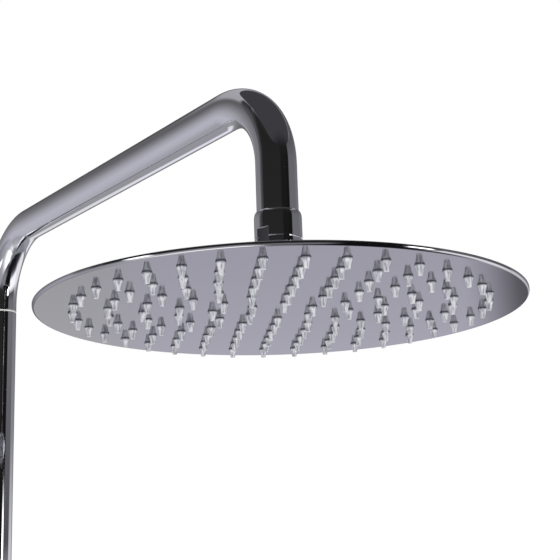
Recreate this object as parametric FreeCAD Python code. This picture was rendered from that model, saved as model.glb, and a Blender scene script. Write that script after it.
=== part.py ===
import FreeCAD, Part
import math
import os

from FreeCAD import Vector

# Shower column: a riser pipe with a swinging overhead arm and a round rain head.
# Millimetres. Z is up, the riser's axis is X = Y = 0, the wall is towards +Y and the arm
# points towards -Y. Z = 0 is the seat of the inlet washer at the riser's foot.

# --- column ---
TUBE_R = 11.0            # outside radius of the riser and the arm
TUBE_WALL = 1.2
ARM_HEIGHT = 950.0       # inlet seat to the arm's axis
ARM_REACH = 346.0        # riser's axis to the head's axis
TOP_BEND_R = 50.0        # centre-line radius at the riser
DROP_BEND_R = 44.0       # centre-line radius above the head
ARM_STUB = 6.0           # straight end of the arm tube below its bend
SOLDER_GAP = 0.05        # radial gap of a plug soldered into a tube
PLUG_LENGTH = 13.0
EDGE = 0.4               # small broken edge

# --- arm swivel at the riser's top ---
SWING = 75.0             # arm's travel each way, in degrees
GLIDE_T = 0.8            # plastic washer that shows as the seam
GLIDE_INSET = 0.3
TAIL_R = 8.0
TAIL_BORE_R = 6.0
TAIL_LENGTH = 30.0       # below the seam
TAIL_FIT = 0.05          # running clearance in the bushing
BUSHING_LENGTH = 32.0
SEAL_SECTION = 1.1
SEAL_SQUEEZE = 0.03      # kept as clearance between the seal and what it touches
SEAL_DEPTH = 6.0         # first seal below the riser's rim
SEAL_PITCH = 6.0
STOP_DEPTH = 22.0        # stop screw below the seam
STOP_R = 2.0
STOP_TIP_R = 1.6
STOP_SLOT_DEPTH = 1.4
STOP_PLAY = 0.5
STOP_SPARE = 1.5         # degrees of slot left at either end of the travel
SCREW_FIT = 0.05

# --- inlet union ---
UNION_THREAD_R = 13.25   # G3/4 thread, modelled plain
UNION_THREAD_L = 9.0
UNION_ACROSS_FLATS = 30.0
UNION_RELIEF = 0.4
UNION_FLANGE_T = 3.0
UNION_FIT = 0.25
UNION_LIP_T = 3.4
UNION_WASHER_T = 2.0
SPIGOT_BORE_R = 7.5

# --- wall bracket ---
WALL_GAP = 52.0          # riser's axis to the wall
BRACKET_HEIGHT = 600.0
BASE_R = 22.0
BASE_T = 6.0
BASE_SCREW_SPACING = 30.0
BASE_SCREW_R = 2.6
BASE_SINK_R = 5.0
BASE_STUB_R = 7.0
BASE_STUB_L = 14.0
STEM_R = 9.5
STEM_FIT = 0.1
ROSE_R = 29.0
ROSE_ROOM = 5.0          # in front of the base, for the screw heads
ROSE_EDGE = 3.0
ROSE_SHOULDER = 4.5
ROSE_CROWN = 2.0
ROSE_WALL = 1.2
CLAMP_WALL = 3.3
CLAMP_HEIGHT = 26.0
LINER_T = 1.1
LINER_FIT = 0.05
LINER_SLIT = 3.0
CLAMP_SCREW_R = 2.5
GRUB_SOCKET_R = 1.25
GRUB_SOCKET_DEPTH = 1.6

# --- ball joint ---
TILT = 15.0              # head's travel each way about X and about Y, in degrees
BALL_HEIGHT = 21.0       # head's face to the ball's centre
BALL_R = 8.5
BALL_FIT = 0.05          # running clearance between the ball, its seats and the socket
NECK_R = 4.5
WATERWAY_R = 3.0
SEAT_T = 1.45
SEAT_DRAIN = 32.0        # polar angles of the seats, from the head's axis, in degrees
LOWER_SEAT_END = 77.0
UPPER_SEAT_START = 56.0
UPPER_SEAT_END = 84.0

# --- swivel nut on the arm's end ---
NUT_R = 12.5
NUT_CLEAR = 13.0         # ball's centre to the nut's lower face
NUT_LIP_T = 3.0
NUT_LIP_FIT = 0.2
NUT_THREAD_R = 10.5      # G1/2 thread, modelled plain
NUT_THREAD_FIT = 0.05
NUT_FLANGE_T = 2.5
NUT_WASHER_T = 1.5
NUT_THREAD_L = 9.5
NUT_HOOD = 1.5           # how far the nut reaches up over the tube
NUT_HOOD_FIT = 0.15
NUT_SHOULDER = 3.5
NUT_SHOULDER_SET = 0.4   # how far the shoulder has come in at half its height
NUT_GROOVE_HEIGHT = 3.2  # nut's lower face to the turned line above it
NUT_GROOVE = 0.35        # depth of that line, and half its width
NUT_FLAT_DEPTH = 0.7
NUT_FLAT_HEIGHT = 8.2
NUT_FLATS = 2
NUT_TURN = 11.35         # direction of the first flat, in degrees from +X
FILTER_R = 5.0
FILTER_T = 0.8
REGULATOR_R = 4.7
REGULATOR_T = 3.5

# --- rain head ---
HEAD_R = 125.0
FACE_DROP = 123.0        # arm's axis to the head's face
FACE_T = 1.0
SHEET_T = 0.8
FACE_FIT = 0.1
RIM_WIDTH = 10.0         # flat flange round the water chamber
RIM_SEAL_T = 0.4
CHAMBER_RISE = 2.0       # chamber's depth at its edge
CROWN_RISE = 5.8         # chamber's depth at the centre
CROWN_R = 24.0           # flat top under the boss
SHOULDER_RUN = 3.0
ROOF_KNEE = 0.55         # where the roof steepens, as a share of its run
ROOF_FALL = 1.2          # fall from the crown to the knee
MAT_T = 1.2
MAT_INSET = 1.0
NOZZLE_RINGS = 6
NOZZLES_PER_RING = 6     # the first ring's count, and what each next ring adds
NOZZLE_MARGIN = 19.7     # outermost ring of nozzles to the head's edge
NOZZLE_TURN = -0.8       # direction of each ring's first nozzle, in degrees from +X
NOZZLE_ROOT_R = 2.4
NOZZLE_TIP_R = 1.25
NOZZLE_LENGTH = 4.4
NOZZLE_SIDES = 6
NOZZLE_FIT = 0.15
POST_R = 2.2
POST_FIT = 0.3
POSTS = 6
POST_RINGS = (2.5, 4.5)  # between rings of nozzles, so no post stands on one

# --- boss on the head's back ---
BOSS_R = 13.0
BOSS_FLANGE_R = 22.0
BOSS_FLANGE_T = 2.5
BOSS_GASKET_T = 0.4
BOSS_SPIGOT_R = 8.9
BOSS_SPIGOT_FIT = 0.2
BOSS_DRAIN_R = 5.0
BACKING_T = 2.5
BOSS_SCREWS = 4
BOSS_SCREW_CIRCLE_R = 18.0
BOSS_SCREW_R = 1.5
BOSS_SCREW_HEAD_R = 2.7
BOSS_SCREW_HEAD_T = 1.6
CAP_WALL = 2.5
CAP_FIT = 0.05
CAP_SKIRT = 7.0
CAP_TOP = 8.0            # ball's centre to the retaining cap's top
CAP_SEAL_T = 0.6
CAP_BEVEL = 3.2
CAP_MOUTH_FIT = 0.35
CAP_FLAT_DEPTH = 0.9

# --- heights and radii that follow ---
TUBE_BORE_R = TUBE_R - TUBE_WALL
PLUG_R = TUBE_BORE_R - SOLDER_GAP
SEAM_Z = ARM_HEIGHT - TOP_BEND_R - ARM_STUB
RISER_TOP_Z = SEAM_Z - GLIDE_T
RISER_FOOT_Z = UNION_WASHER_T + UNION_FLANGE_T
FACE_Z = ARM_HEIGHT - FACE_DROP
BALL_Z = FACE_Z + BALL_HEIGHT
NUT_Z = BALL_Z + NUT_CLEAR
STUD_FLANGE_Z = NUT_Z + NUT_LIP_T
NUT_WASHER_Z = STUD_FLANGE_Z + NUT_FLANGE_T
SPIGOT_Z = NUT_WASHER_Z + NUT_WASHER_T
DROP_END_Z = SPIGOT_Z + NUT_THREAD_L
NUT_TOP_Z = DROP_END_Z + NUT_HOOD
SOCKET_R = BALL_R + BALL_FIT + SEAT_T + BALL_FIT
FACE_TOP_Z = FACE_Z + FACE_T
RIM_Z = FACE_TOP_Z + RIM_SEAL_T          # underside of the cover's flange
MAT_TOP_Z = FACE_TOP_Z + MAT_T
CHAMBER_R = HEAD_R - SHEET_T - RIM_WIDTH
NOZZLE_FIELD_R = HEAD_R - NOZZLE_MARGIN
NOZZLE_PITCH = NOZZLE_FIELD_R / NOZZLE_RINGS
CROWN_Z = RIM_Z + CROWN_RISE             # underside of the cover's flat top
BOSS_Z = CROWN_Z + SHEET_T + BOSS_GASKET_T
SOCKET_WALL = SOCKET_R * math.tan(math.pi / 8)  # upright wall, where a 45-degree cone meets it
MOST_TILT = math.acos(math.cos(math.radians(TILT)) ** 2)
UP = Vector(0, 0, 1)
OUT = Vector(0, 1, 0)
HEAD_AXIS = Vector(0, -ARM_REACH, 0)


def polar(radius, degrees, z=0.0):
    angle = math.radians(degrees)
    return Vector(radius * math.cos(angle), radius * math.sin(angle), z)


def rod(radius, z0, z1):
    return Part.makeCylinder(radius, z1 - z0, Vector(0, 0, z0))


def ring(outer, inner, z0, z1):
    return rod(outer, z0, z1).cut(rod(inner, z0, z1))


def revolved(edges):
    return Part.Face(Part.Wire(edges)).revolve(Vector(0, 0, 0), UP, 360)


def turned(profile):
    """Solid of revolution about Z of a closed outline given as (radius, height) corners."""
    corners = [Vector(r, 0, z) for r, z in profile]
    return revolved(Part.makePolygon(corners + corners[:1]).Edges)


def prism(sides, radius, z0, z1, turn=0.0):
    corners = [polar(radius, turn + 360.0 * i / sides, z0) for i in range(sides)]
    face = Part.Face(Part.makePolygon(corners + corners[:1]))
    return face.extrude(Vector(0, 0, z1 - z0))


def grub(radius, length):
    """Headless screw along +Z from its point, with a hexagonal socket in its outer end."""
    socket = prism(6, GRUB_SOCKET_R, length - GRUB_SOCKET_DEPTH, length + 1)
    return rod(radius, 0, length).cut(socket)


def radial(shape, start, degrees, z):
    """Turns a shape made along +Z so that it points outwards from the Z axis."""
    shape = shape.copy()
    shape.rotate(Vector(0, 0, 0), OUT, 90)
    shape.translate(Vector(start, 0, z))
    shape.rotate(Vector(0, 0, 0), UP, degrees)
    return shape


def on_head(shape):
    shape = shape.copy()
    shape.translate(HEAD_AXIS)
    return shape


def at_bracket(shape):
    """Turns a shape made along +Z from the wall face so that it stands out from the wall."""
    shape = shape.copy()
    shape.rotate(Vector(0, 0, 0), Vector(1, 0, 0), 90)
    shape.translate(Vector(0, WALL_GAP, BRACKET_HEIGHT))
    return shape


# --- inlet and riser ---

def make_riser_tube():
    tube = ring(TUBE_R, TUBE_BORE_R, RISER_FOOT_Z, RISER_TOP_Z)
    return tube.cut(stop_hole())


def make_inlet_spigot():
    flange_r = UNION_THREAD_R - UNION_FIT
    top = RISER_FOOT_Z + PLUG_LENGTH
    return turned([
        (SPIGOT_BORE_R, UNION_WASHER_T),
        (flange_r, UNION_WASHER_T),
        (flange_r, RISER_FOOT_Z),
        (PLUG_R, RISER_FOOT_Z),
        (PLUG_R, top),
        (SPIGOT_BORE_R, top),
    ])


def make_union_washer():
    return ring(UNION_THREAD_R - UNION_FIT, SPIGOT_BORE_R, 0, UNION_WASHER_T)


def make_union_nut():
    lip_z = RISER_FOOT_Z + SCREW_FIT
    top = lip_z + UNION_LIP_T
    corner_r = UNION_ACROSS_FLATS / 2 / math.cos(math.pi / 6)
    flat_r = UNION_ACROSS_FLATS / 2
    bevel = corner_r - flat_r
    blank = turned([
        (0, -UNION_THREAD_L),
        (flat_r, -UNION_THREAD_L),
        (corner_r, bevel - UNION_THREAD_L),
        (corner_r, top - bevel),
        (flat_r, top),
        (0, top),
    ])
    blank = blank.common(prism(6, corner_r, -UNION_THREAD_L, top))
    relief_r = UNION_THREAD_R + UNION_RELIEF
    bore = turned([
        (0, -UNION_THREAD_L - 1),
        (UNION_THREAD_R, -UNION_THREAD_L - 1),
        (UNION_THREAD_R, 0),
        (relief_r, 0),
        (relief_r, lip_z),
        (TUBE_R + UNION_FIT, lip_z),
        (TUBE_R + UNION_FIT, top + 1),
        (0, top + 1),
    ])
    return blank.cut(bore)


# --- arm swivel ---

def stop_hole():
    hole = rod(STOP_R + SCREW_FIT, 0, TUBE_R + 1)
    return radial(hole, 0, 90, SEAM_Z - STOP_DEPTH)


def seal_heights():
    return [RISER_TOP_Z - SEAL_DEPTH - i * SEAL_PITCH for i in range(2)]


def make_riser_bushing():
    bore_r = TAIL_R + TAIL_FIT
    bushing = ring(PLUG_R, bore_r, RISER_TOP_Z - BUSHING_LENGTH, RISER_TOP_Z)
    groove_r = TAIL_R + SEAL_SQUEEZE * 2 + SEAL_SECTION
    for z in seal_heights():
        half = SEAL_SECTION / 2 + SEAL_SQUEEZE
        bushing = bushing.cut(ring(groove_r, TAIL_R, z - half, z + half))
    return bushing.cut(stop_hole())


def make_tail_seals():
    inner = TAIL_R + SEAL_SQUEEZE
    half = SEAL_SECTION / 2
    seals = [ring(inner + SEAL_SECTION, inner, z - half, z + half) for z in seal_heights()]
    return Part.makeCompound(seals)


def make_glide_ring():
    return ring(TUBE_R - GLIDE_INSET, TAIL_R + TAIL_FIT * 2, RISER_TOP_Z, SEAM_Z)


def make_stop_screw():
    slot_floor = TAIL_R - STOP_SLOT_DEPTH
    tip_end = slot_floor + STOP_PLAY
    body_start = TAIL_R + TAIL_FIT * 2
    tip = radial(rod(STOP_TIP_R, 0, body_start - tip_end), tip_end, 90, SEAM_Z - STOP_DEPTH)
    body = radial(grub(STOP_R, TUBE_R - body_start - EDGE), body_start, 90, SEAM_Z - STOP_DEPTH)
    return body.fuse(tip).removeSplitter()


def make_arm_tail():
    """Turned sleeve soldered into the arm's foot, with the part-round slot of the stop screw."""
    plug_top = SEAM_Z + ARM_STUB - EDGE
    tail_foot = SEAM_Z - TAIL_LENGTH
    sleeve = turned([
        (TAIL_BORE_R, tail_foot),
        (TAIL_R, tail_foot),
        (TAIL_R, SEAM_Z),
        (PLUG_R, SEAM_Z),
        (PLUG_R, plug_top),
        (TAIL_BORE_R, plug_top),
    ])
    half = STOP_TIP_R + STOP_PLAY
    z = SEAM_Z - STOP_DEPTH
    reach = SWING + STOP_SPARE + math.degrees(math.asin(STOP_TIP_R / (TAIL_R - STOP_SLOT_DEPTH)))
    slot = Part.makeCylinder(TAIL_R + 1, 2 * half, Vector(0, 0, z - half), UP, 2 * reach)
    slot = slot.cut(rod(TAIL_R - STOP_SLOT_DEPTH, z - half, z + half))
    slot.rotate(Vector(0, 0, 0), UP, 90 - reach)
    return sleeve.cut(slot)


def tube_section(centre, normal):
    outer, inner = [
        Part.Face(Part.Wire(Part.makeCircle(r, centre, normal))) for r in (TUBE_R, TUBE_BORE_R)
    ]
    return outer.cut(inner).Faces[0]


def make_arm_tube():
    """Stub, top bend, long run, drop bend and drop, as one bent tube."""
    run_start = Vector(0, -TOP_BEND_R, ARM_HEIGHT)
    run_end = Vector(0, DROP_BEND_R - ARM_REACH, ARM_HEIGHT)
    top_centre = Vector(0, -TOP_BEND_R, ARM_HEIGHT - TOP_BEND_R)
    drop_centre = Vector(0, DROP_BEND_R - ARM_REACH, ARM_HEIGHT - DROP_BEND_R)
    drop_start = Vector(0, -ARM_REACH, ARM_HEIGHT - DROP_BEND_R)
    bend_axis = Vector(1, 0, 0)
    stretches = [
        tube_section(Vector(0, 0, SEAM_Z), UP).extrude(UP * ARM_STUB),
        tube_section(Vector(0, 0, ARM_HEIGHT - TOP_BEND_R), UP).revolve(top_centre, bend_axis, 90),
        tube_section(run_start, OUT).extrude(run_end - run_start),
        tube_section(run_end, OUT).revolve(drop_centre, bend_axis, 90),
        tube_section(drop_start, UP).extrude(Vector(0, 0, DROP_END_Z - drop_start.z)),
    ]
    return stretches[0].fuse(stretches[1:]).removeSplitter()


# --- wall bracket ---

def make_bracket_base():
    base = rod(BASE_R, 0, BASE_T).fuse(rod(BASE_STUB_R, 0, BASE_T + BASE_STUB_L)).removeSplitter()
    sink = BASE_SINK_R - BASE_SCREW_R
    for side in (-1, 1):
        hole = turned([
            (0, -1),
            (BASE_SCREW_R, -1),
            (BASE_SCREW_R, BASE_T - sink),
            (BASE_SINK_R, BASE_T),
            (BASE_SINK_R, BASE_T + 1),
            (0, BASE_T + 1),
        ])
        hole.translate(Vector(0, side * BASE_SCREW_SPACING / 2, 0))
        base = base.cut(hole)
    return at_bracket(base)


def make_wall_rose():
    """Hollow cover that slides along the stem and hides the base and its screws."""
    mouth_r = STEM_R + STEM_FIT
    depth = BASE_T + ROSE_ROOM
    return at_bracket(turned([
        (ROSE_R - ROSE_WALL, 0),
        (ROSE_R, 0),
        (ROSE_R, ROSE_EDGE),
        (ROSE_R - ROSE_SHOULDER, depth - ROSE_CROWN),
        (mouth_r, depth),
        (mouth_r, depth - ROSE_WALL),
        (ROSE_R - ROSE_SHOULDER - ROSE_WALL, depth - ROSE_CROWN - ROSE_WALL),
        (ROSE_R - ROSE_WALL, ROSE_EDGE),
    ]))


def clamp_bore_r():
    return TUBE_R + LINER_FIT + LINER_T + LINER_FIT


def make_bracket_body():
    """Clamp ring round the riser with the stem that carries it."""
    outer_r = clamp_bore_r() + CLAMP_WALL
    z0 = BRACKET_HEIGHT - CLAMP_HEIGHT / 2
    z1 = BRACKET_HEIGHT + CLAMP_HEIGHT / 2
    collar = turned([
        (0, z0),
        (outer_r - 1, z0),
        (outer_r, z0 + 1),
        (outer_r, z1 - 1),
        (outer_r - 1, z1),
        (0, z1),
    ])
    stem_l = WALL_GAP - BASE_T
    stem = Part.makeCylinder(STEM_R, stem_l, Vector(0, 0, BRACKET_HEIGHT), OUT)
    socket = Part.makeCylinder(
        BASE_STUB_R + STEM_FIT, BASE_STUB_L + STEM_FIT,
        Vector(0, stem_l, BRACKET_HEIGHT), -OUT)
    body = collar.fuse(stem).cut(rod(clamp_bore_r(), z0, z1)).cut(socket)
    screw_hole = radial(rod(CLAMP_SCREW_R + SCREW_FIT, 0, CLAMP_WALL + 2), clamp_bore_r() - 1, 0,
                        BRACKET_HEIGHT)
    return body.cut(screw_hole).cut(stem_screw_space(SCREW_FIT, STEM_R + 1))


def stem_screw_space(fit, end_r):
    """Rod from the stub's side down through the stem, end_r from the stem's axis."""
    y = WALL_GAP - BASE_T - BASE_STUB_L / 2
    start = Vector(0, y, BRACKET_HEIGHT - BASE_STUB_R - STEM_FIT / 2)
    return Part.makeCylinder(STOP_R + fit, end_r - BASE_STUB_R - STEM_FIT / 2, start, -UP)


def make_stem_screw():
    screw = stem_screw_space(0, STEM_R - EDGE)
    y = WALL_GAP - BASE_T - BASE_STUB_L / 2
    socket = prism(6, GRUB_SOCKET_R, -1, GRUB_SOCKET_DEPTH)
    socket.translate(Vector(0, y, BRACKET_HEIGHT - STEM_R + EDGE))
    return screw.cut(socket)


def make_clamp_liner():
    outer_r = clamp_bore_r() - LINER_FIT
    inner_r = TUBE_R + LINER_FIT
    z0 = BRACKET_HEIGHT - CLAMP_HEIGHT / 2
    z1 = BRACKET_HEIGHT + CLAMP_HEIGHT / 2
    slit = Part.makeBox(LINER_SLIT, outer_r + 1, CLAMP_HEIGHT, Vector(-LINER_SLIT / 2, -outer_r - 1, z0))
    return ring(outer_r, inner_r, z0, z1).cut(slit)


def make_clamp_screw():
    return radial(grub(CLAMP_SCREW_R, CLAMP_WALL - EDGE), clamp_bore_r(), 0, BRACKET_HEIGHT)


# --- swivel nut and ball stud ---

def make_drop_spigot():
    """Threaded end soldered into the drop; the tube's rim stands on its shoulder."""
    thread_r = NUT_THREAD_R - NUT_THREAD_FIT
    top = DROP_END_Z + PLUG_LENGTH
    return on_head(turned([
        (SPIGOT_BORE_R, SPIGOT_Z),
        (thread_r, SPIGOT_Z),
        (thread_r, DROP_END_Z),
        (PLUG_R, DROP_END_Z),
        (PLUG_R, top),
        (SPIGOT_BORE_R, top),
    ]))


def make_swivel_nut():
    hood_z = DROP_END_Z - NUT_HOOD_FIT
    groove_z = NUT_Z + NUT_GROOVE_HEIGHT
    nut = turned([
        (BALL_R + NUT_LIP_FIT, NUT_Z),
        (NUT_R - EDGE, NUT_Z),
        (NUT_R, NUT_Z + EDGE),
        (NUT_R, groove_z - NUT_GROOVE),
        (NUT_R - NUT_GROOVE, groove_z),
        (NUT_R, groove_z + NUT_GROOVE),
        (NUT_R, NUT_TOP_Z - NUT_SHOULDER),
        (NUT_R - NUT_SHOULDER_SET, NUT_TOP_Z - NUT_SHOULDER / 2),
        (TUBE_R + NUT_HOOD_FIT + EDGE / 2, NUT_TOP_Z),
        (TUBE_R + NUT_HOOD_FIT, NUT_TOP_Z),
        (TUBE_R + NUT_HOOD_FIT, hood_z),
        (NUT_THREAD_R, hood_z),
        (NUT_THREAD_R, STUD_FLANGE_Z),
        (BALL_R + NUT_LIP_FIT, STUD_FLANGE_Z),
    ])
    for i in range(NUT_FLATS):
        flat = Part.makeBox(NUT_R, 2 * NUT_R, NUT_FLAT_HEIGHT,
                            Vector(NUT_R - NUT_FLAT_DEPTH, -NUT_R, NUT_Z))
        flat.rotate(Vector(0, 0, 0), UP, NUT_TURN + 360.0 * i / NUT_FLATS)
        nut = nut.cut(flat)
    return on_head(nut)


def make_nut_washer():
    outer_r = NUT_THREAD_R - NUT_LIP_FIT
    return on_head(ring(outer_r, FILTER_R + NUT_LIP_FIT, NUT_WASHER_Z, SPIGOT_Z))


def make_inlet_filter():
    """Shallow strainer cup that stands in the washer's hole."""
    cup = rod(FILTER_R, NUT_WASHER_Z, SPIGOT_Z)
    hollow = rod(FILTER_R - FILTER_T / 2, NUT_WASHER_Z + FILTER_T, SPIGOT_Z + 1)
    return on_head(cup.cut(hollow))


def regulator_pocket_r():
    return REGULATOR_R + NUT_THREAD_FIT


def make_ball_stud():
    """Ball, neck, shoulder and flange turned from one bar, with the waterway through them."""
    flange_r = NUT_THREAD_R - NUT_LIP_FIT
    shank = turned([
        (0, BALL_Z),
        (NECK_R, BALL_Z),
        (NECK_R, NUT_Z),
        (BALL_R, NUT_Z),
        (BALL_R, STUD_FLANGE_Z),
        (flange_r, STUD_FLANGE_Z),
        (flange_r, NUT_WASHER_Z),
        (0, NUT_WASHER_Z),
    ])
    ball = Part.makeSphere(BALL_R, Vector(0, 0, BALL_Z))
    pocket = rod(regulator_pocket_r(), NUT_WASHER_Z - REGULATOR_T, NUT_WASHER_Z + 1)
    waterway = rod(WATERWAY_R, BALL_Z - BALL_R - 1, NUT_WASHER_Z)
    return on_head(shank.fuse(ball).cut(pocket).cut(waterway))


def make_flow_regulator():
    top = NUT_WASHER_Z
    body = rod(REGULATOR_R, top - REGULATOR_T, top)
    star = prism(3, WATERWAY_R * 0.8, top - REGULATOR_T, top)
    return on_head(body.cut(star))


# --- ball seats and socket ---

def seat_ring(start, end, facets):
    """Ring round the ball between two polar angles, with flat-sided cones that touch it in lines."""
    step = math.radians(end - start) / facets
    inner_r = (BALL_R + BALL_FIT) / math.cos(step / 2)
    outer_r = BALL_R + BALL_FIT + SEAT_T
    def arc(radius):
        angles = [math.radians(start) + i * step for i in range(facets + 1)]
        return [(radius * math.sin(a), BALL_Z + radius * math.cos(a)) for a in angles]
    return turned(arc(inner_r) + arc(outer_r)[::-1])


def make_lower_seat():
    return on_head(seat_ring(180 - LOWER_SEAT_END, 180 - SEAT_DRAIN, 2))


def make_upper_seat():
    return on_head(seat_ring(UPPER_SEAT_START, UPPER_SEAT_END, 1))


def boss_screw_places():
    return [polar(BOSS_SCREW_CIRCLE_R, 45 + 360.0 * i / BOSS_SCREWS) for i in range(BOSS_SCREWS)]


def boss_screw_holes(z0, z1):
    holes = []
    for place in boss_screw_places():
        hole = rod(BOSS_SCREW_R + SCREW_FIT, z0, z1)
        hole.translate(place)
        holes.append(hole)
    return holes


def make_head_boss():
    body = turned([
        (BOSS_DRAIN_R, CROWN_Z - BACKING_T),
        (BOSS_SPIGOT_R, CROWN_Z - BACKING_T),
        (BOSS_SPIGOT_R, BOSS_Z),
        (BOSS_FLANGE_R, BOSS_Z),
        (BOSS_FLANGE_R, BOSS_Z + BOSS_FLANGE_T - EDGE),
        (BOSS_FLANGE_R - EDGE, BOSS_Z + BOSS_FLANGE_T),
        (BOSS_R, BOSS_Z + BOSS_FLANGE_T),
        (BOSS_R, BALL_Z),
        (SOCKET_R, BALL_Z),
        (SOCKET_R, BALL_Z - SOCKET_WALL),
        (BOSS_DRAIN_R, BALL_Z - SOCKET_WALL - (SOCKET_R - BOSS_DRAIN_R)),
    ])
    return on_head(body.cut(boss_screw_holes(BOSS_Z, BOSS_Z + BOSS_FLANGE_T)))


def make_cap_seal():
    return on_head(ring(BOSS_R, SOCKET_R + CAP_SEAL_T, BALL_Z, BALL_Z + CAP_SEAL_T))


def make_retaining_cap():
    """Threaded cap with a conical roof that keeps the ball in, and a mouth flared for the tilt."""
    bore_r = BOSS_R + CAP_FIT
    outer_r = bore_r + CAP_WALL
    foot = BALL_Z - CAP_SKIRT
    roof = BALL_Z + CAP_SEAL_T
    top = BALL_Z + CAP_TOP
    throat_r = NECK_R / math.cos(MOST_TILT) + CAP_MOUTH_FIT   # at the ball's centre
    flare = math.tan(MOST_TILT)
    lip = (SOCKET_R + SOCKET_WALL - throat_r) / (1 + flare)   # height where roof and mouth meet
    cap = turned([
        (bore_r, foot),
        (outer_r, foot),
        (outer_r, top - CAP_BEVEL),
        (outer_r - CAP_BEVEL, top),
        (throat_r + CAP_TOP * flare, top),
        (throat_r + lip * flare, BALL_Z + lip),
        (SOCKET_R, BALL_Z + SOCKET_WALL),
        (SOCKET_R, roof),
        (bore_r, roof),
    ])
    flats_r = (outer_r - CAP_FLAT_DEPTH) / math.cos(math.pi / 6)
    return on_head(cap.common(prism(6, flats_r, foot, top)))


# --- rain head ---

def roof_outline(lift):
    """Cover's underside, or its upper side when lifted, from the crown out to the flange."""
    edge_r = CHAMBER_R - SHOULDER_RUN
    knee_r = CROWN_R + (edge_r - CROWN_R) * ROOF_KNEE
    return [
        (CROWN_R, CROWN_Z + lift),
        (knee_r, CROWN_Z - ROOF_FALL + lift),
        (edge_r, RIM_Z + CHAMBER_RISE + lift),
        (CHAMBER_R, RIM_Z + lift),
    ]


def make_top_cover():
    """Pressed sheet: crown, sloping roof, shoulder, flat flange and turned-down rim."""
    hole_r = BOSS_SPIGOT_R + BOSS_SPIGOT_FIT
    skirt_r = HEAD_R - SHEET_T
    bevel = SHEET_T / 2
    top_z = RIM_Z + SHEET_T
    under = [(hole_r, CROWN_Z), *roof_outline(0), (skirt_r, RIM_Z), (skirt_r, FACE_Z)]
    rim = [
        (HEAD_R - bevel, FACE_Z),
        (HEAD_R, FACE_Z + bevel),
        (HEAD_R, top_z - bevel),
        (HEAD_R - bevel, top_z),
    ]
    upper = [*roof_outline(SHEET_T)[::-1], (hole_r, CROWN_Z + SHEET_T)]
    cover = turned(under + rim + upper)
    return on_head(cover.cut(boss_screw_holes(CROWN_Z, CROWN_Z + SHEET_T)))


def nozzle_places():
    """Nozzle axes: evenly spaced rings, each with six more nozzles than the one inside it."""
    places = []
    for k in range(1, NOZZLE_RINGS + 1):
        count = NOZZLES_PER_RING * k
        step = 360.0 / count
        places += [polar(NOZZLE_PITCH * k, NOZZLE_TURN + step * i) for i in range(count)]
    return places


def post_places():
    step = 360.0 / POSTS
    places = []
    for k in POST_RINGS:
        places += [polar(NOZZLE_PITCH * k, NOZZLE_TURN + step * (i + 0.5)) for i in range(POSTS)]
    return places


def make_face_plate():
    plate = rod(HEAD_R - SHEET_T - FACE_FIT, FACE_Z, FACE_TOP_Z)
    hole = prism(NOZZLE_SIDES, NOZZLE_ROOT_R + NOZZLE_FIT, FACE_Z, FACE_TOP_Z)
    holes = [hole.translated(place) for place in nozzle_places()]
    return on_head(plate.cut(Part.makeCompound(holes)))


def frustum(sides, low_r, z0, high_r, z1):
    """Tapered prism with flat sides."""
    low = [polar(low_r, 360.0 * i / sides, z0) for i in range(sides)]
    high = [polar(high_r, 360.0 * i / sides, z1) for i in range(sides)]
    outlines = [[low[i - 1], low[i], high[i], high[i - 1]] for i in range(sides)]
    faces = [Part.Face(Part.makePolygon(corners + corners[:1])) for corners in [*outlines, low, high]]
    return Part.Solid(Part.Shell(faces))


def make_nozzle_mat():
    """Silicone sheet in one piece with its nozzles, which taper down through the face plate."""
    mat = rod(CHAMBER_R - SHOULDER_RUN - MAT_INSET, FACE_TOP_Z, MAT_TOP_Z)
    gaps = [post_prism(place, POST_R + POST_FIT, MAT_TOP_Z) for place in post_places()]
    tip_z = FACE_Z - NOZZLE_LENGTH
    nozzle = frustum(NOZZLE_SIDES, NOZZLE_TIP_R, tip_z, NOZZLE_ROOT_R, FACE_TOP_Z)
    nozzles = [nozzle.translated(place) for place in nozzle_places()]
    return on_head(mat.cut(Part.makeCompound(gaps)).fuse(nozzles).removeSplitter())


def make_rim_seal():
    inner_r = CHAMBER_R + MAT_INSET
    outer_r = HEAD_R - SHEET_T - MAT_INSET
    return on_head(ring(outer_r, inner_r, FACE_TOP_Z, RIM_Z))


def post_prism(place, radius, top_z):
    post = prism(6, radius, FACE_TOP_Z, top_z)
    post.translate(place)
    return post


def roof_height(radius):
    """Height of the cover's underside at a radius between its crown and its shoulder."""
    outline = roof_outline(0)
    for (r0, z0), (r1, z1) in zip(outline, outline[1:]):
        if radius <= r1:
            return z0 + (z1 - z0) * (radius - r0) / (r1 - r0)
    return outline[-1][1]


def make_spacer_posts():
    posts = [
        on_head(post_prism(place, POST_R, roof_height(place.Length + POST_R)))
        for place in post_places()
    ]
    return Part.makeCompound(posts)


def make_backing_ring():
    inner_r = BOSS_SPIGOT_R + BOSS_SPIGOT_FIT
    plate = ring(BOSS_FLANGE_R, inner_r, CROWN_Z - BACKING_T, CROWN_Z)
    return on_head(plate.cut(boss_screw_holes(CROWN_Z - BACKING_T, CROWN_Z)))


def make_boss_gasket():
    inner_r = BOSS_SPIGOT_R + BOSS_SPIGOT_FIT
    gasket = ring(BOSS_FLANGE_R, inner_r, CROWN_Z + SHEET_T, BOSS_Z)
    return on_head(gasket.cut(boss_screw_holes(CROWN_Z + SHEET_T, BOSS_Z)))


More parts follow.
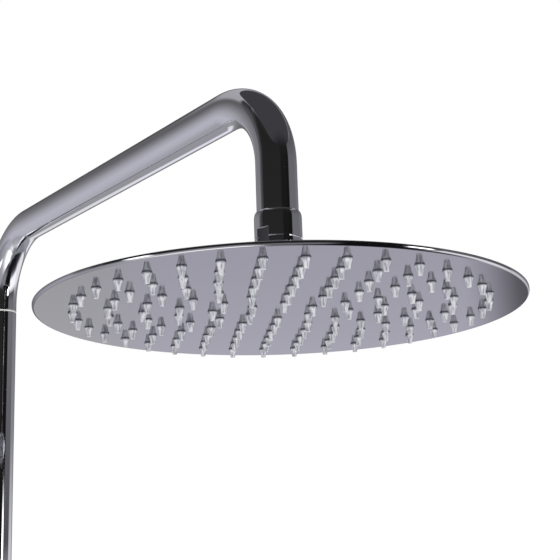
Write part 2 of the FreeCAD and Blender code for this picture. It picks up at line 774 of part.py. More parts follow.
def make_boss_screws():
    seat = BOSS_Z + BOSS_FLANGE_T
    screws = []
    for place in boss_screw_places():
        shank = rod(BOSS_SCREW_R, CROWN_Z - BACKING_T, seat)
        head = turned([
            (0, seat),
            (BOSS_SCREW_HEAD_R, seat),
            (BOSS_SCREW_HEAD_R, seat + BOSS_SCREW_HEAD_T),
            (0, seat + BOSS_SCREW_HEAD_T),
        ])
        socket = prism(6, GRUB_SOCKET_R, seat + BOSS_SCREW_HEAD_T / 3, seat + BOSS_SCREW_HEAD_T + 1)
        screw = shank.fuse(head).removeSplitter().cut(socket)
        screw.translate(place)
        screws.append(on_head(screw))
    return Part.makeCompound(screws)


PIECES = {
    "riser_tube": make_riser_tube,
    "inlet_spigot": make_inlet_spigot,
    "union_washer": make_union_washer,
    "union_nut": make_union_nut,
    "riser_bushing": make_riser_bushing,
    "tail_seals": make_tail_seals,
    "glide_ring": make_glide_ring,
    "stop_screw": make_stop_screw,
    "bracket_base": make_bracket_base,
    "wall_rose": make_wall_rose,
    "bracket_body": make_bracket_body,
    "clamp_liner": make_clamp_liner,
    "clamp_screw": make_clamp_screw,
    "stem_screw": make_stem_screw,
    "arm_tail": make_arm_tail,
    "arm_tube": make_arm_tube,
    "drop_spigot": make_drop_spigot,
    "swivel_nut": make_swivel_nut,
    "nut_washer": make_nut_washer,
    "inlet_filter": make_inlet_filter,
    "ball_stud": make_ball_stud,
    "flow_regulator": make_flow_regulator,
    "lower_seat": make_lower_seat,
    "upper_seat": make_upper_seat,
    "head_boss": make_head_boss,
    "cap_seal": make_cap_seal,
    "retaining_cap": make_retaining_cap,
    "boss_gasket": make_boss_gasket,
    "backing_ring": make_backing_ring,
    "boss_screws": make_boss_screws,
    "top_cover": make_top_cover,
    "face_plate": make_face_plate,
    "nozzle_mat": make_nozzle_mat,
    "rim_seal": make_rim_seal,
    "spacer_posts": make_spacer_posts,
}

os.makedirs("parts", exist_ok=True)
for name, make in PIECES.items():
    shape = make()
    shape.exportStep("parts/" + name + ".step")
    box = shape.BoundBox
    print(f"{name:16s} solids {len(shape.Solids):3d} volume {shape.Volume:10.1f} "
          f"x {box.XMin:7.1f} {box.XMax:7.1f} y {box.YMin:7.1f} {box.YMax:7.1f} "
          f"z {box.ZMin:6.1f} {box.ZMax:6.1f} valid {shape.isValid()}")
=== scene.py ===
import bpy
import math
from mathutils import Matrix, Vector


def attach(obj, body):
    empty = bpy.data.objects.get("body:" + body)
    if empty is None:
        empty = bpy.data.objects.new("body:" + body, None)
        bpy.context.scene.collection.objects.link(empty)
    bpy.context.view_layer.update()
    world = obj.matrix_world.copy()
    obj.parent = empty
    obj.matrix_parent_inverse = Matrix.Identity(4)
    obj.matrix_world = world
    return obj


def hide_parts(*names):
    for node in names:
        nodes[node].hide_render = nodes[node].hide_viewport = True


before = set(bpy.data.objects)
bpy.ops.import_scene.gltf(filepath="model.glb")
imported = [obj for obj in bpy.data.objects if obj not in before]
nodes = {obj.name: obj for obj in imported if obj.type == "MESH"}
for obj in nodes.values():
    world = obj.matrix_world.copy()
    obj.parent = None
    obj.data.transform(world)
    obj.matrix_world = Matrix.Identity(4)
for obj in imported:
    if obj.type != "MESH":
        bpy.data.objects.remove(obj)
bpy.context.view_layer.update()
print("frame loaded:", len(nodes), "nodes")

mm = 0.001            # the pieces' sizes are in millimetres, the studio's in metres
armReach = 346.0      # mm, from the riser's axis to the drop's and the head's
faceLevel = 827.0     # mm, the head's face above the inlet's seat
dropAxis = Vector((0, -armReach * mm, 0))
headCentre = Vector((0, -armReach * mm, faceLevel * mm))    # middle of the head's face
weldGap = 0.002       # mm, points nearer than this to each other become one


# small helpers used by every piece
def toLinear(hexColour):
    channels = [int(hexColour[i:i + 2], 16) / 255 for i in (1, 3, 5)]
    linear = [c / 12.92 if c <= 0.04045 else ((c + 0.055) / 1.055) ** 2.4 for c in channels]
    return (*linear, 1)


def newMaterial(name):
    material = bpy.data.materials.new(name)
    material.use_nodes = True
    return material, material.node_tree, material.node_tree.nodes["Principled BSDF"]


def addNode(tree, kind, settings=None, inputs=None):
    node = tree.nodes.new(kind)
    for key, value in (settings or {}).items():
        setattr(node, key, value)
    for key, value in (inputs or {}).items():
        if isinstance(value, bpy.types.NodeSocket):
            tree.links.new(value, node.inputs[key])
        else:
            node.inputs[key].default_value = value
    return node


def newPiece(name):
    piece = bpy.context.active_object
    piece.name = name
    piece.data.name = name
    return piece


def deselectAll():
    if bpy.context.object and bpy.context.object.mode != "OBJECT":
        bpy.ops.object.mode_set(mode="OBJECT")
    bpy.ops.object.select_all(action="DESELECT")


def pick(piece):
    deselectAll()
    piece.select_set(True)
    bpy.context.view_layer.objects.active = piece


def settle(piece):
    # place goes into the mesh, so the object sits at the origin
    pick(piece)
    bpy.ops.object.transform_apply(location=True, rotation=True, scale=True)


# chrome plate on brass: bright, nearly mirror, with the faint swell that polishing leaves under it
chromeLook = {
    "colour": "#dedee2",
    "roughness": (0.03, 0.07),    # from the best polished patches to the worst
    "swellSize": 9.0,        # mm from one swell to the next
    "swellHeight": 0.006,    # mm
    "smearSize": 35.0,       # mm, soft patches where the polish changes
}


def makeChrome(look):
    material, tree, shader = newMaterial("Chrome plate")
    shader.inputs["Metallic"].default_value = 1
    shader.inputs["Base Color"].default_value = toLinear(look["colour"])
    place = addNode(tree, "ShaderNodeTexCoord").outputs["Object"]
    smear = addNode(tree, "ShaderNodeTexNoise", inputs={
        "Vector": place, "Scale": 1000 / look["smearSize"], "Detail": 4})
    spread = addNode(tree, "ShaderNodeMapRange", inputs={
        "Value": smear.outputs["Fac"], "From Min": 0.3, "From Max": 0.7,
        "To Min": look["roughness"][0], "To Max": look["roughness"][1]})
    tree.links.new(spread.outputs["Result"], shader.inputs["Roughness"])
    swell = addNode(tree, "ShaderNodeTexNoise", inputs={
        "Vector": place, "Scale": 1000 / look["swellSize"], "Detail": 1})
    bump = addNode(tree, "ShaderNodeBump", inputs={
        "Height": swell.outputs["Fac"], "Strength": 0.3, "Distance": look["swellHeight"] * mm})
    tree.links.new(bump.outputs["Normal"], shader.inputs["Normal"])
    return material


# polished stainless sheet: a mirror greyer than chrome, with faint lines left by the buffing wheel. Its
# colour and its colour at a flat angle are darker than steel's own, a painted shade that greys the face
steelLook = {
    # painted shade: darker than polished steel, so that the face plate mirrors grey
    "colour": "#a09fa4",
    "edgeColour": "#dbdbde",     # how it mirrors at a flat angle, darkened as a painted shade
    "coverColour": "#c4c4c8",    # the cover's lighter copy of the same sheet, nearer steel's own colour, without the plate's painted shade
    "roughness": (0.05, 0.11),
    "lineSpacing": 0.8,      # mm between buffing lines, drawn coarser than real so that they show
    "lineStretch": 40,       # a line's length over its width
    "lineHeight": 0.002,     # mm
    "smearSize": 60.0,       # mm
}


def makePolishedSteel(name, colour, look):
    material, tree, shader = newMaterial(name)
    shader.inputs["Metallic"].default_value = 1
    shader.inputs["Base Color"].default_value = toLinear(colour)
    shader.inputs["Specular Tint"].default_value = toLinear(look["edgeColour"])
    place = addNode(tree, "ShaderNodeTexCoord").outputs["Object"]
    smear = addNode(tree, "ShaderNodeTexNoise", inputs={
        "Vector": place, "Scale": 1000 / look["smearSize"], "Detail": 5})
    stretched = addNode(tree, "ShaderNodeMapping", inputs={
        "Vector": place, "Scale": (look["lineStretch"], 1, 1)})
    lines = addNode(tree, "ShaderNodeTexNoise", inputs={
        "Vector": stretched.outputs["Vector"], "Scale": 1000 / look["lineStretch"] / look["lineSpacing"],
        "Detail": 2})
    both = addNode(tree, "ShaderNodeMath", {"operation": "MULTIPLY_ADD"}, {
        0: lines.outputs["Fac"], 1: 0.3, 2: smear.outputs["Fac"]})
    spread = addNode(tree, "ShaderNodeMapRange", inputs={
        "Value": both.outputs["Value"], "From Min": 0.4, "From Max": 0.9,
        "To Min": look["roughness"][0], "To Max": look["roughness"][1]})
    tree.links.new(spread.outputs["Result"], shader.inputs["Roughness"])
    bump = addNode(tree, "ShaderNodeBump", inputs={
        "Height": lines.outputs["Fac"], "Strength": 0.04, "Distance": look["lineHeight"] * mm})
    tree.links.new(bump.outputs["Normal"], shader.inputs["Normal"])
    return material


# turned brass: warm yellow with the fine grooves of the lathe
brassLook = {
    "colour": "#c9a560",
    "darkColour": "#9c7b40",
    "roughness": (0.22, 0.38),
    "tarnishScale": 120,     # cloudy darker patches to the metre
    "grooveSpacing": 3.77,   # mm, much wider than the real feed so that it shows
    "grooveDepth": 0.02,     # mm
}


def makeBrass(look):
    material, tree, shader = newMaterial("Turned brass")
    shader.inputs["Metallic"].default_value = 1
    place = addNode(tree, "ShaderNodeTexCoord").outputs["Object"]
    tarnish = addNode(tree, "ShaderNodeTexNoise", inputs={
        "Vector": place, "Scale": look["tarnishScale"], "Detail": 4})
    colour = addNode(tree, "ShaderNodeMix", {"data_type": "RGBA"}, {
        0: tarnish.outputs["Fac"], 6: toLinear(look["darkColour"]), 7: toLinear(look["colour"])})
    tree.links.new(colour.outputs[2], shader.inputs["Base Color"])
    # at scale 1 this texture goes through 20 radians to the metre
    groove = addNode(tree, "ShaderNodeTexWave", {"bands_direction": "Z"}, {
        "Vector": place, "Scale": math.tau / 20 * 1000 / look["grooveSpacing"], "Distortion": 0.3})
    spread = addNode(tree, "ShaderNodeMapRange", inputs={
        "Value": groove.outputs["Fac"], "To Min": look["roughness"][0], "To Max": look["roughness"][1]})
    tree.links.new(spread.outputs["Result"], shader.inputs["Roughness"])
    bump = addNode(tree, "ShaderNodeBump", inputs={
        "Height": groove.outputs["Fac"], "Strength": 0.3, "Distance": look["grooveDepth"] * mm})
    tree.links.new(bump.outputs["Normal"], shader.inputs["Normal"])
    return material


# machined stainless: grey, with short brushed streaks
stainlessLook = {
    "colour": "#b4b5b8",
    "roughness": (0.24, 0.4),
    "streakWidth": 0.4,      # mm
    "streakShrink": 0.05,    # streaks run level: this is their width over their length
    "streakDepth": 0.01,     # mm
}


def makeStainless(look):
    material, tree, shader = newMaterial("Machined stainless")
    shader.inputs["Metallic"].default_value = 1
    shader.inputs["Base Color"].default_value = toLinear(look["colour"])
    place = addNode(tree, "ShaderNodeTexCoord").outputs["Object"]
    shrink = look["streakShrink"]
    stretched = addNode(tree, "ShaderNodeMapping", inputs={"Vector": place, "Scale": (shrink, shrink, 1)})
    streak = addNode(tree, "ShaderNodeTexNoise", inputs={
        "Vector": stretched.outputs["Vector"], "Scale": 1000 / look["streakWidth"], "Detail": 3})
    spread = addNode(tree, "ShaderNodeMapRange", inputs={
        "Value": streak.outputs["Fac"], "From Min": 0.3, "From Max": 0.7,
        "To Min": look["roughness"][0], "To Max": look["roughness"][1]})
    tree.links.new(spread.outputs["Result"], shader.inputs["Roughness"])
    bump = addNode(tree, "ShaderNodeBump", inputs={
        "Height": streak.outputs["Fac"], "Strength": 0.3, "Distance": look["streakDepth"] * mm})
    tree.links.new(bump.outputs["Normal"], shader.inputs["Normal"])
    return material


# silicone rubber, undyed: milky grey, lets a little light through, and has a soft satin skin
siliconeLook = {
    # the nozzle's colour is painted in streaks: the light streaks are painted highlights, with the dark
    # streak colour between them
    "colour": "#ececf0",
    "darkStreakColour": "#9fa0ab",
    "paintedRootShade": "#5a5b66",   # painted shade on the thick root, darkest where it meets the plate
    "rootHeight": 827.1,       # mm above the inlet, where the root's shade is full
    "clearHeight": 825.9,      # and where it has gone
    "roughness": 0.24,
    "ior": 1.41,
    "glowWeight": 0.3,         # share of the light that goes in and comes out again
    "glowDepth": (0.54, 0.54, 0.6),    # mm
    "highlightStreakSize": 1.1,         # mm, painted highlight streaks down each nozzle
    "streakShrink": 0.12,      # a streak's width over its length
    "grainSize": 0.5,          # mm, moulding texture
    "grainDepth": 0.03,        # mm
}


def makeSilicone(look):
    material, tree, shader = newMaterial("Milky silicone rubber")
    place = addNode(tree, "ShaderNodeTexCoord").outputs["Object"]
    # painted highlights: light streaks drawn down each nozzle in its colour
    drawn = addNode(tree, "ShaderNodeMapping", inputs={
        "Vector": place, "Scale": (1, 1, look["streakShrink"])})
    streak = addNode(tree, "ShaderNodeTexNoise", inputs={
        "Vector": drawn.outputs["Vector"], "Scale": 1000 / look["highlightStreakSize"], "Detail": 2})
    strong = addNode(tree, "ShaderNodeMapRange", inputs={
        "Value": streak.outputs["Fac"], "From Min": 0.34, "From Max": 0.62})
    paintedStreaks = addNode(tree, "ShaderNodeMix", {"data_type": "RGBA"}, {
        0: strong.outputs["Result"], 6: toLinear(look["darkStreakColour"]), 7: toLinear(look["colour"])})
    # painted shade: the colour darkens towards the root, where the nozzle meets the plate
    height = addNode(tree, "ShaderNodeSeparateXYZ", inputs={"Vector": place})
    root = addNode(tree, "ShaderNodeMapRange", {"interpolation_type": "SMOOTHSTEP"}, {
        "Value": height.outputs["Z"],
        "From Min": look["clearHeight"] * mm, "From Max": look["rootHeight"] * mm})
    colour = addNode(tree, "ShaderNodeMix", {"data_type": "RGBA"}, {
        0: root.outputs["Result"], 6: paintedStreaks.outputs[2], 7: toLinear(look["paintedRootShade"])})
    tree.links.new(colour.outputs[2], shader.inputs["Base Color"])
    shader.inputs["Roughness"].default_value = look["roughness"]
    shader.inputs["IOR"].default_value = look["ior"]
    shader.inputs["Subsurface Weight"].default_value = look["glowWeight"]
    shader.inputs["Subsurface Radius"].default_value = look["glowDepth"]
    shader.inputs["Subsurface Scale"].default_value = mm
    grain = addNode(tree, "ShaderNodeTexNoise", inputs={"Vector": place, "Scale": 1000 / look["grainSize"]})
    bump = addNode(tree, "ShaderNodeBump", inputs={
        "Height": grain.outputs["Fac"], "Strength": 0.2, "Distance": look["grainDepth"] * mm})
    tree.links.new(bump.outputs["Normal"], shader.inputs["Normal"])
    return material


# nitrile rubber: black, dull, slightly dusty
rubberLook = {
    "colour": "#17171a",
    "dustColour": "#2c2c30",
    "roughness": 0.55,
    "ior": 1.52,
    "dustSize": 6.0,         # mm
    "dustHeight": 0.05,      # mm
}


def makeRubber(look):
    material, tree, shader = newMaterial("Black nitrile rubber")
    place = addNode(tree, "ShaderNodeTexCoord").outputs["Object"]
    dust = addNode(tree, "ShaderNodeTexNoise", inputs={
        "Vector": place, "Scale": 1000 / look["dustSize"], "Detail": 6})
    colour = addNode(tree, "ShaderNodeMix", {"data_type": "RGBA"}, {
        0: dust.outputs["Fac"], 6: toLinear(look["colour"]), 7: toLinear(look["dustColour"])})
    tree.links.new(colour.outputs[2], shader.inputs["Base Color"])
    shader.inputs["Roughness"].default_value = look["roughness"]
    shader.inputs["IOR"].default_value = look["ior"]
    bump = addNode(tree, "ShaderNodeBump", inputs={
        "Height": dust.outputs["Fac"], "Strength": 0.2, "Distance": look["dustHeight"] * mm})
    tree.links.new(bump.outputs["Normal"], shader.inputs["Normal"])
    return material


# acetal: white moulded plastic with a slight sheen and a fine moulding grain
acetalLook = {
    "colour": "#e6e6e2",
    "shadeColour": "#dad9d3",
    "roughness": 0.35,
    "ior": 1.48,
    "shadeScale": 90,        # faint patches to the metre
    "grainSize": 0.8,        # mm
    "grainDepth": 0.03,      # mm
}


def makeAcetal(look):
    material, tree, shader = newMaterial("White acetal")
    place = addNode(tree, "ShaderNodeTexCoord").outputs["Object"]
    shade = addNode(tree, "ShaderNodeTexNoise", inputs={
        "Vector": place, "Scale": look["shadeScale"], "Detail": 3})
    colour = addNode(tree, "ShaderNodeMix", {"data_type": "RGBA"}, {
        0: shade.outputs["Fac"], 6: toLinear(look["shadeColour"]), 7: toLinear(look["colour"])})
    tree.links.new(colour.outputs[2], shader.inputs["Base Color"])
    shader.inputs["Roughness"].default_value = look["roughness"]
    shader.inputs["IOR"].default_value = look["ior"]
    grain = addNode(tree, "ShaderNodeTexNoise", inputs={"Vector": place, "Scale": 1000 / look["grainSize"]})
    bump = addNode(tree, "ShaderNodeBump", inputs={
        "Height": grain.outputs["Fac"], "Strength": 0.15, "Distance": look["grainDepth"] * mm})
    tree.links.new(bump.outputs["Normal"], shader.inputs["Normal"])
    return material


finishes = {
    "chrome": makeChrome(chromeLook),
    "mirror_steel": makePolishedSteel("Stainless sheet, plate's shaded copy", steelLook["colour"], steelLook),
    "brass": makeBrass(brassLook),
    "stainless": makeStainless(stainlessLook),
    "silicone": makeSilicone(siliconeLook),
    "black_rubber": makeRubber(rubberLook),
    "white_plastic": makeAcetal(acetalLook),
}
# the cover is a lighter copy of the plate's material: the plate's darker colour is painted shade
coverSteel = makePolishedSteel("Stainless sheet, cover's lighter copy", steelLook["coverColour"], steelLook)
print("materials made:", len(finishes) + 1)


def finish(piece, slotName, material=None):
    # the slot's own material, unless another is given
    piece.data.materials.clear()
    piece.data.materials.append(material or finishes[slotName])


nodeFinish = {
    "chrome": ["riser_tube", "union_nut", "wall_rose", "bracket_body", "arm_tube", "swivel_nut",
               "retaining_cap", "head_boss"],
    "mirror_steel": ["top_cover", "face_plate"],
    "brass": ["inlet_spigot", "arm_tail", "drop_spigot", "bracket_base", "ball_stud"],
    "stainless": ["stop_screw", "clamp_screw", "stem_screw", "backing_ring", "boss_screws",
                  "spacer_posts", "inlet_filter"],
    "silicone": ["nozzle_mat"],
    "black_rubber": ["union_washer", "tail_seals", "nut_washer", "cap_seal", "boss_gasket", "rim_seal"],
    "white_plastic": ["riser_bushing", "glide_ring", "clamp_liner", "flow_regulator", "lower_seat",
                      "upper_seat"],
}
for slotName, names in nodeFinish.items():
    for name in names:
        finish(nodes[name], slotName)
print("finishes on", sum(len(names) for names in nodeFinish.values()), "nodes")


# pieces whose real surface is finer than the frame's solids are modelled anew. These helpers shape them

def roundCorner(radius, height, size, fromAngle, toAngle, steps=4):
    # points of a quarter round about (radius, height), for a profile
    points = []
    for i in range(steps + 1):
        angle = math.radians(fromAngle + (toAngle - fromAngle) * i / steps)
        points.append((radius + size * math.cos(angle), height + size * math.sin(angle)))
    return points


def extrudeEdges(x, y, z):
    bpy.ops.mesh.extrude_edges_move(TRANSFORM_OT_translate={"value": (x * mm, y * mm, z * mm)})


def raiseRings(sides, profile, centre=Vector((0, 0, 0))):
    # draws a profile of (radius, height) pairs in millimetres, ring after ring, and stays in edit mode
    deselectAll()
    radius, height = profile[0]
    bpy.ops.mesh.primitive_circle_add(vertices=sides, radius=radius * mm,
                                      location=centre + Vector((0, 0, height * mm)))
    bpy.ops.object.mode_set(mode="EDIT")
    for nextRadius, nextHeight in profile[1:]:
        extrudeEdges(0, 0, nextHeight - height)
        share = nextRadius / radius
        if share != 1:
            level = centre + Vector((0, 0, nextHeight * mm))
            bpy.ops.transform.resize(value=(share, share, 1), center_override=level)
        radius, height = nextRadius, nextHeight


def weldPoints():
    bpy.ops.mesh.select_all(action="SELECT")
    bpy.ops.mesh.remove_doubles(threshold=weldGap * mm)


def leaveEdit(name):
    # the faces are turned outwards first
    bpy.ops.mesh.select_all(action="SELECT")
    bpy.ops.mesh.normals_make_consistent(inside=False)
    bpy.ops.object.mode_set(mode="OBJECT")
    return newPiece(name)


def turnPiece(name, sides, profile, centre=Vector((0, 0, 0))):
    raiseRings(sides, profile, centre)
    weldPoints()
    piece = leaveEdit(name)
    settle(piece)
    return piece


def carve(piece, cutter):
    pick(piece)
    cut = piece.modifiers.new("cut", "BOOLEAN")
    cut.object = cutter
    cut.operation = "DIFFERENCE"
    cut.solver = "EXACT"
    bpy.ops.object.modifier_apply(modifier="cut")
    bpy.data.objects.remove(cutter)


def breakEdges(piece, width, angle):
    pick(piece)
    bevel = piece.modifiers.new("edges", "BEVEL")
    bevel.width = width * mm
    bevel.segments = 2
    bevel.limit_method = "ANGLE"
    bevel.angle_limit = math.radians(angle)
    bevel.harden_normals = True
    bpy.ops.object.modifier_apply(modifier="edges")


def smooth(piece, angle):
    pick(piece)
    bpy.ops.object.shade_smooth_by_angle(angle=math.radians(angle))


# riser and bent arm: one size of tube, which the seam below the upper bend parts
tubeLook = {
    "sides": 96,
    "radius": 11.0,
    "wall": 1.2,
    "riserFoot": 5.0,
    "riserTop": 893.2,
    "riserParts": 8,
    "seam": 894.0,           # the arm's lower end
    "stub": 6.0,             # straight length above the seam
    "topBend": 50.0,         # radius on the tube's axis
    "dropBend": 44.0,
    "bendSteps": 48,
    "runParts": 12,
    "armHeight": 950.0,
    "dropEnd": 877.5,
    "endRing": 1.0,          # from an end to the first ring of edges
    "rimRound": 0.35,
    "stopHeight": 872.0,
    "stopRadius": 2.05,      # hole for the stop screw
    "stopDrill": 6.0,
    "stopPlace": 10.0,       # the drill's middle, from the axis
}


def makeRiser(look):
    outer, inner = look["radius"], look["radius"] - look["wall"]
    foot, top, soft, ring = look["riserFoot"], look["riserTop"], look["rimRound"], look["endRing"]
    parts = look["riserParts"]
    levels = [foot + (top - foot) * i / parts for i in range(1, parts)]
    outside = roundCorner(outer - soft, foot + soft, soft, -90, 0)
    outside += [(outer, z) for z in [foot + ring, *levels, top - ring]]
    outside += roundCorner(outer - soft, top - soft, soft, 0, 90)
    inside = [(inner, top), (inner, top - ring), (inner, foot + ring), (inner, foot), (outer - soft, foot)]
    riser = turnPiece("riser_pipe", look["sides"], outside + inside)
    smooth(riser, 40)
    return riser


def drillStop(riser, look):
    deselectAll()
    bpy.ops.mesh.primitive_cylinder_add(
        vertices=32, radius=look["stopRadius"] * mm, depth=look["stopDrill"] * mm,
        location=(0, look["stopPlace"] * mm, look["stopHeight"] * mm), rotation=(math.pi / 2, 0, 0))
    carve(riser, newPiece("stop_hole"))
    smooth(riser, 40)


def makeArm(look):
    deselectAll()
    start = (0, 0, look["seam"] * mm)
    bpy.ops.mesh.primitive_circle_add(vertices=look["sides"], radius=look["radius"] * mm, location=start)
    bpy.ops.object.mode_set(mode="EDIT")
    for rise in (look["endRing"], look["stub"] - look["endRing"]):
        extrudeEdges(0, 0, rise)
    topCentre = (0, -look["topBend"] * mm, (look["seam"] + look["stub"]) * mm)
    bpy.ops.mesh.spin(steps=look["bendSteps"], angle=math.radians(-90), center=topCentre, axis=(1, 0, 0))
    run = armReach - look["topBend"] - look["dropBend"]
    for i in range(look["runParts"]):
        extrudeEdges(0, -run / look["runParts"], 0)
    bendLevel = look["armHeight"] - look["dropBend"]
    dropCentre = (0, (look["dropBend"] - armReach) * mm, bendLevel * mm)
    bpy.ops.mesh.spin(steps=look["bendSteps"], angle=math.radians(-90), center=dropCentre, axis=(1, 0, 0))
    for fall in (bendLevel - look["dropEnd"] - look["endRing"], look["endRing"]):
        extrudeEdges(0, 0, -fall)
    weldPoints()
    arm = leaveEdit("arm_pipe")
    settle(arm)
    shell = arm.modifiers.new("wall", "SOLIDIFY")
    shell.thickness = look["wall"] * mm
    shell.offset = -1
    bpy.ops.object.modifier_apply(modifier="wall")
    smooth(arm, 40)
    breakEdges(arm, look["rimRound"], 60)
    return arm


riserPipe = makeRiser(tubeLook)
drillStop(riserPipe, tubeLook)
finish(riserPipe, "chrome")
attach(riserPipe, "riser")
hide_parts("riser_tube")
armPipe = makeArm(tubeLook)
finish(armPipe, "chrome")
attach(armPipe, "arm")
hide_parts("arm_tube")
print("pipes made")


# swivel nut: the collar under the drop, with a sloping shoulder, a turned line and two flats
nutLook = {
    "sides": 128,
    "radius": 12.5,
    "foot": 861.0,
    "top": 879.0,
    "footRound": 0.4,
    "line": 864.2,
    "lineDepth": 0.35,
    "lineRing": 0.3,         # from the line to the rings of edges that hold it
    "shoulder": 3.5,
    "shoulderRing": 1.0,     # from its foot down to the ring that holds it
    "shoulderSteps": 8,
    "shoulderStep": 9,       # degrees
    "lean": 1.1,             # how far a full quarter of the shoulder would come in
    "lip": 11.25,            # radius of the flat land round the mouth
    "mouthBore": 11.15,      # the drop stands in it
    "mouthFoot": 877.35,
    "bore": 10.5,
    "boreFoot": 864.0,
    "footBore": 8.7,         # the ball stud comes out through it
    "flatDepth": 0.7,
    "flatHeight": 8.2,
    "flatTurn": 11.35,       # degrees from +X
    "cutter": (10.0, 30.0, 20.0),    # the block that takes each flat off
    "edge": 0.2,
}


def makeNut(look):
    outer, foot, top, line = look["radius"], look["foot"], look["top"], look["line"]
    soft, groove, ring = look["footRound"], look["lineDepth"], look["lineRing"]
    lineLow, lineHigh = line - groove, line + groove
    shoulderFoot = top - look["shoulder"]
    outside = [(look["footBore"], foot), *roundCorner(outer - soft, foot + soft, soft, -90, 0),
               (outer, lineLow - ring), (outer, lineLow), (outer - groove, line), (outer, lineHigh),
               (outer, lineHigh + ring), (outer, shoulderFoot - look["shoulderRing"])]
    for i in range(look["shoulderSteps"] + 1):
        angle = math.radians(i * look["shoulderStep"])
        outside.append((outer - look["lean"] * (1 - math.cos(angle)),
                        shoulderFoot + look["shoulder"] * math.sin(angle)))
    outside.append((look["lip"], top))
    inside = [(look["mouthBore"], top), (look["mouthBore"], look["mouthFoot"]),
              (look["bore"], look["mouthFoot"]), (look["bore"], look["boreFoot"]),
              (look["footBore"], look["boreFoot"]), (look["footBore"], foot)]
    nut = turnPiece("collar_nut", look["sides"], outside + inside, dropAxis)
    deep, wide, tall = look["cutter"]
    for side in (0, 180):
        angle = math.radians(look["flatTurn"] + side)
        away = Vector((math.cos(angle), math.sin(angle), 0))
        place = away * (outer - look["flatDepth"] + deep / 2) * mm
        place += dropAxis + Vector((0, 0, (foot + look["flatHeight"] - tall / 2) * mm))
        deselectAll()
        bpy.ops.mesh.primitive_cube_add(size=1, location=place, rotation=(0, 0, angle),
                                        scale=(deep * mm, wide * mm, tall * mm))
        cutter = newPiece("flat_cutter")
        settle(cutter)
        carve(nut, cutter)
    smooth(nut, 14)
    breakEdges(nut, look["edge"], 15)
    return nut


collarNut = makeNut(nutLook)
finish(collarNut, "chrome")
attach(collarNut, "arm")
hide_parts("swivel_nut")
print("collar nut made:", len(collarNut.data.polygons), "faces")


# head's cover: a pressed sheet whose rim rolls down to the face. Its points are (radius, height)
coverLook = {
    "sides": 256,
    "upper": [
        (9.3, 835.0), (24.0, 835.0), (27.0, 834.97), (40.0, 834.79), (56.0, 834.47), (68.0, 834.0),
        (76.0, 833.6), (88.0, 832.85), (100.0, 832.05), (107.0, 831.55), (110.0, 831.3), (111.5, 831.0),
        (112.8, 830.3), (113.8, 829.6), (114.6, 829.28), (115.6, 829.2), (123.5, 829.2)],
    "rimCentre": (124.6, 828.8),
    "rimRound": 0.4,
    "rim": [
        (125.0, 828.45), (124.97, 828.15), (124.9, 827.85), (124.78, 827.55), (124.6, 827.27),
        (124.4, 827.08), (124.2, 827.0)],
    "under": [
        (124.2, 828.4), (114.2, 828.4), (111.2, 830.4), (71.96, 833.0), (24.0, 834.2), (9.3, 834.2),
        (9.3, 835.0)],
}


def makeCover(look):
    rim = roundCorner(*look["rimCentre"], look["rimRound"], 90, 0) + look["rim"]
    cover = turnPiece("pressed_cover", look["sides"], look["upper"] + rim + look["under"], dropAxis)
    smooth(cover, 35)
    return cover


# nozzles: soft cones that stand out of the face plate in rings, one moulding with their mat
nozzleLook = {
    "rings": 6,
    "perRing": 6,            # the first ring's count, and what each next ring adds
    "fieldRadius": 105.3,
    "turn": -0.8,            # degrees from +X to each ring's first nozzle
    "sides": 12,
    "rootRadius": 2.35,
    "rootHeight": 0.6,       # heights and drops are from the plate's face
    "rootDrop": 0.1,
    "footRadius": 1.95,      # the root flares over its first half millimetre
    "footDrop": 0.7,
    "waistRadius": 1.62,
    "waistDrop": 1.9,
    "tipRadius": 1.2,
    "drop": 4.3,
    "jetRadius": 0.5,
    "jetEndRadius": 0.4,
    "jetDepth": 0.9,         # from the tip upwards
}


def nozzlePlaces(look):
    places = []
    for ring in range(1, look["rings"] + 1):
        count = look["perRing"] * ring
        radius = look["fieldRadius"] * ring / look["rings"] * mm
        for i in range(count):
            angle = math.radians(look["turn"] + 360 * i / count)
            places.append(headCentre + Vector((radius * math.cos(angle), radius * math.sin(angle), 0)))
    return places


def copyTo(places, pattern, name):
    # a copy of the pattern at each place, each with its own mesh, joined into one piece
    copies = []
    for place in places:
        copy = pattern.copy()
        copy.data = pattern.data.copy()
        bpy.context.collection.objects.link(copy)
        copy.location = place
        copies.append(copy)
    bpy.data.objects.remove(pattern)
    deselectAll()
    for copy in copies:
        copy.select_set(True)
    bpy.context.view_layer.objects.active = copies[0]
    bpy.ops.object.join()
    piece = newPiece(name)
    settle(piece)
    return piece


def makeNozzles(look):
    drop = look["drop"]
    raiseRings(look["sides"], [
        (look["rootRadius"], look["rootHeight"]),
        (look["rootRadius"], -look["rootDrop"]),
        (look["footRadius"], -look["footDrop"]),
        (look["waistRadius"], -look["waistDrop"]),
        (look["tipRadius"], -drop),
        (look["jetRadius"], -drop),
        (look["jetEndRadius"], look["jetDepth"] - drop),
    ])
    bpy.ops.mesh.edge_face_add()     # closes the jet's end
    piece = copyTo(nozzlePlaces(look), leaveEdit("nozzle_pattern"), "nozzles")
    smooth(piece, 50)
    return piece


# face plate, with a round hole for each nozzle
plateLook = {
    "sides": 256,
    "radius": 124.1,
    "top": 828.0,
    "edge": 0.15,
    "holeRadius": 2.45,
    "holeSides": 16,
    "holeDrill": 4.0,        # the drill's length, half of it on each side of the face
}


